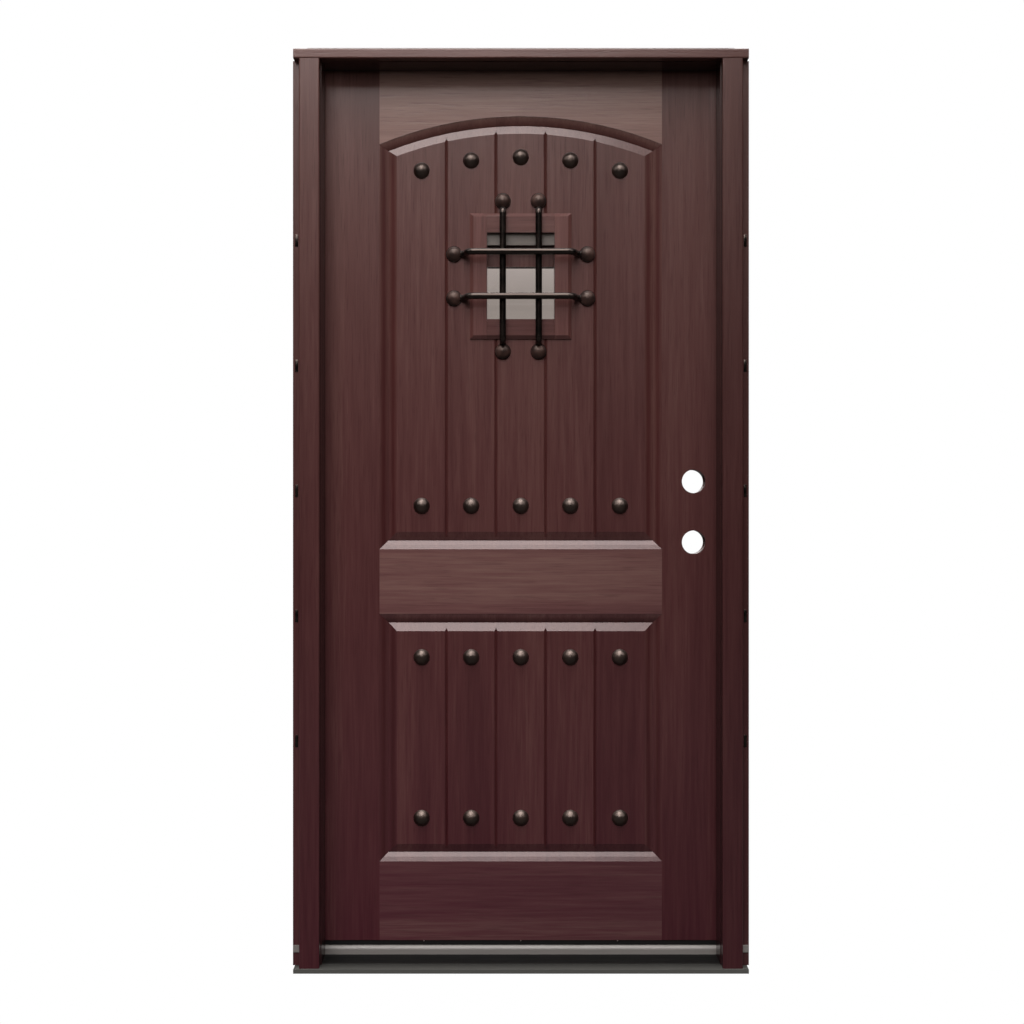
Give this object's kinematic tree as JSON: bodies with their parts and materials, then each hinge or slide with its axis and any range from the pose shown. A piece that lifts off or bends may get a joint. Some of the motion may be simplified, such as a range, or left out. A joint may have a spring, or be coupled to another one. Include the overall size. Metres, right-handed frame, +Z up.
{
  "type": "exterior door with frame",
  "caption": "Brown fiberglass exterior door in its frame, with an arched plank panel, round iron clavos, a grilled speakeasy with an opening sash, lock bores and a sill.",
  "frame": {"origin": "on the underside of the sill, at mid width, in the plane of the jambs' outer edge", "axes": "+X along the wall to the strike side as seen from outside, +Y into the house, +Z up"},
  "size_m": [1.0224, 0.187, 2.0679],
  "materials": {
    "stained_fiberglass": "satin stained wood-grain moulding",
    "stained_jamb": "satin stained",
    "stained_trim": "satin stained",
    "black_iron": "hammered, satin black",
    "mill_aluminium": "extruded, brushed",
    "bronze_aluminium": "dark bronze anodised",
    "plated_steel": "satin plated",
    "seal_rubber": "matte",
    "sill_composite": "matte",
    "engineered_wood": "sanded",
    "foam": "cut foam",
    "clear_glass": "clear"
  },
  "bodies": {
    "frame": {"sill_base": "sill_composite", "sill_tread": "bronze_aluminium", "sill_cap": "mill_aluminium", "sill_cap_screws": "plated_steel", "hinge_jamb": "stained_jamb", "strike_jamb": "stained_jamb", "head_jamb": "stained_jamb", "frame_screws": "plated_steel", "hinge_side_casing": "stained_jamb", "strike_side_casing": "stained_jamb", "head_casing": "stained_jamb", "hinge_side_fin": "bronze_aluminium", "strike_side_fin": "bronze_aluminium", "fixing_clips": "black_iron", "hinge_weatherstrip": "seal_rubber", "strike_weatherstrip": "seal_rubber", "head_weatherstrip": "seal_rubber", "corner_pads": "seal_rubber", "upper_hinge_jamb_plate": "plated_steel", "middle_hinge_jamb_plate": "plated_steel", "lower_hinge_jamb_plate": "plated_steel", "upper_hinge_pin": "plated_steel", "middle_hinge_pin": "plated_steel", "lower_hinge_pin": "plated_steel", "jamb_hinge_screws": "plated_steel"},
    "door": {"exterior_skin": "stained_fiberglass", "interior_skin": "stained_fiberglass", "hinge_stile": "engineered_wood", "lock_stile": "engineered_wood", "top_rail": "engineered_wood", "bottom_rail": "engineered_wood", "foam_core": "foam", "door_sweep": "seal_rubber", "sweep_screws": "plated_steel", "upper_hinge_door_plate": "plated_steel", "middle_hinge_door_plate": "plated_steel", "lower_hinge_door_plate": "plated_steel", "door_hinge_screws": "plated_steel", "arched_panel_clavos": "black_iron", "lower_panel_clavos": "black_iron", "speakeasy_left_stile": "stained_trim", "speakeasy_right_stile": "stained_trim", "speakeasy_top_rail": "stained_trim", "speakeasy_bottom_rail": "stained_trim", "speakeasy_sleeve": "stained_trim", "speakeasy_inner_trim": "stained_trim", "grille_left_upright": "black_iron", "grille_right_upright": "black_iron", "grille_upper_crossbar": "black_iron", "grille_lower_crossbar": "black_iron", "grille_nails": "black_iron", "bolt_keeper": "black_iron", "sash_hinge_trim_plates": "plated_steel", "sash_hinge_pins": "plated_steel"},
    "sash": {"sash_frame": "stained_trim", "sash_glass": "clear_glass", "glazing_bead": "stained_trim", "sash_hinge_sash_plates": "plated_steel", "bolt_barrel": "black_iron"},
    "bolt": {"barrel_bolt": "plated_steel"}
  },
  "joints": [
    {"name": "door_swing", "type": "hinge", "parent": "frame", "child": "door", "pos_m": [-0.4588, 0.1226, 0], "axis": [0, 0, 1], "range_deg": [0, 170]},
    {"name": "sash_swing", "type": "hinge", "parent": "door", "child": "sash", "pos_m": [-0.0926, 0.1385, 0], "axis": [0, 0, 1], "range_deg": [0, 150]},
    {"name": "bolt_slide", "type": "slide", "parent": "sash", "child": "bolt", "axis": [0, 0, 1], "range_m": [0, 0.014]}
  ]
}
